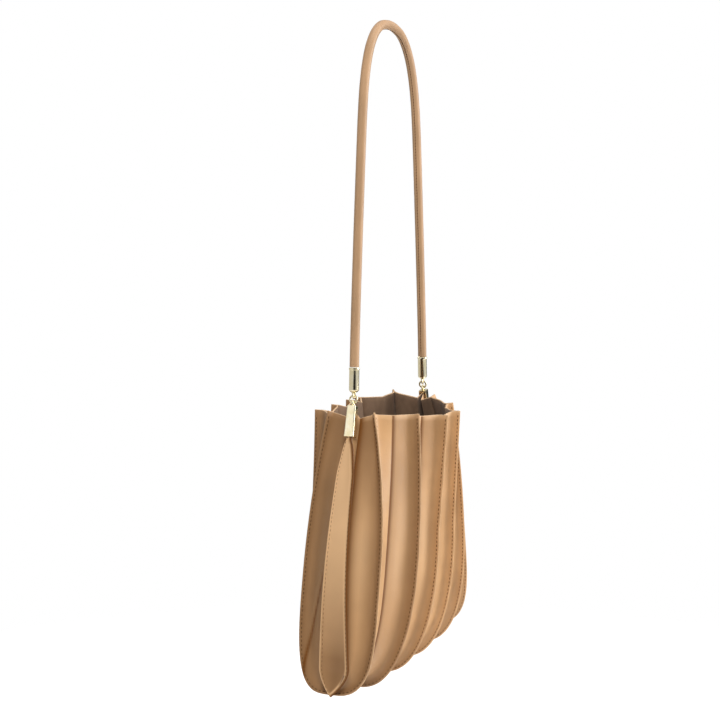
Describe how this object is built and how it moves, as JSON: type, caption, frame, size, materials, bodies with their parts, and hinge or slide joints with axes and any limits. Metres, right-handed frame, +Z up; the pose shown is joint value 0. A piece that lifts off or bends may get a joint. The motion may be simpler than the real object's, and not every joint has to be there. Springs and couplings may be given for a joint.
{
  "type": "pleated shoulder bag",
  "caption": "Soft open-topped bag of accordion-pleated leather panels with flat pointed end leaves, hanging from a round rolled strap on pale gold clips, rings and ferrules",
  "frame": {"origin": "underside of the strap at its crest, where the bag hangs", "axes": "+X along the width to the right as one faces the front, -Y out of the front, +Z up"},
  "size_m": [0.272, 0.1087, 0.5511],
  "materials": {
    "body_leather": "smooth tan leather, low sheen, suede-like reverse",
    "strap_leather": "smooth rolled leather, low sheen",
    "pale_gold": "polished pale gold plate"
  },
  "bodies": {
    "root": {"pleat_panel_1": "body_leather", "pleat_panel_2": "body_leather", "pleat_panel_3": "body_leather", "pleat_panel_4": "body_leather", "pleat_panel_5": "body_leather", "pleat_panel_6": "body_leather", "pleat_panel_7": "body_leather", "end_leaf_left": "body_leather", "end_leaf_right": "body_leather", "clip_left": "pale_gold", "clip_right": "pale_gold", "ring_left": "pale_gold", "ring_right": "pale_gold", "ferrule_left": "pale_gold", "ferrule_right": "pale_gold", "strap": "strap_leather"}
  },
  "joints": []
}
